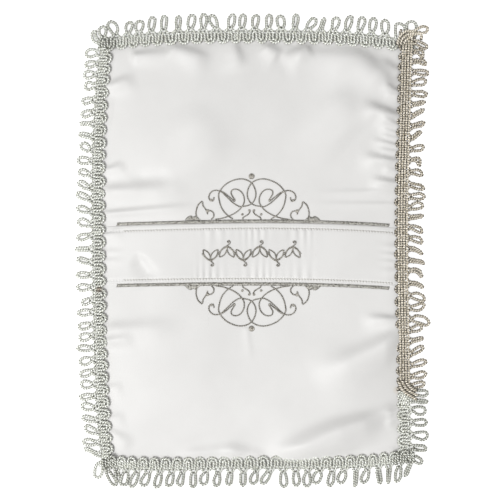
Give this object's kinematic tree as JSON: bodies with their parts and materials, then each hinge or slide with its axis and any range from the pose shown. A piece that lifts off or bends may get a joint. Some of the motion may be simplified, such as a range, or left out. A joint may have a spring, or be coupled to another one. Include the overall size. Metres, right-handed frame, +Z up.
{
  "type": "afikoman cover",
  "caption": "Flat satin pouch, open along one long side, with a turned band and scrollwork across its front and a looped braid round its edge.",
  "frame": {"origin": "centre of the cover's underside, where it lies on the table", "axes": "+X towards the mouth, on the right of the front; +Y along the long side, towards the top of the front; +Z up, out of the front"},
  "size_m": [0.2807, 0.376, 0.0118],
  "materials": {
    "white_satin": "satin weave polyester with a soft sheen",
    "silver_braid": "braid of twisted metallised cord, face up",
    "silver_braid_reverse": "the braid's reverse, with its chain stitches showing",
    "silver_thread": "embroidery in dark silver grey thread"
  },
  "bodies": {
    "root": {"back_panel": "white_satin", "front_panel": "white_satin", "name_band": "white_satin", "upper_rail": "silver_thread", "lower_rail": "silver_thread", "upper_scrollwork": "silver_thread", "lower_scrollwork": "silver_thread", "trim_left": "silver_braid", "trim_right": "silver_braid_reverse", "trim_top": "silver_braid", "trim_bottom": "silver_braid"}
  },
  "joints": []
}
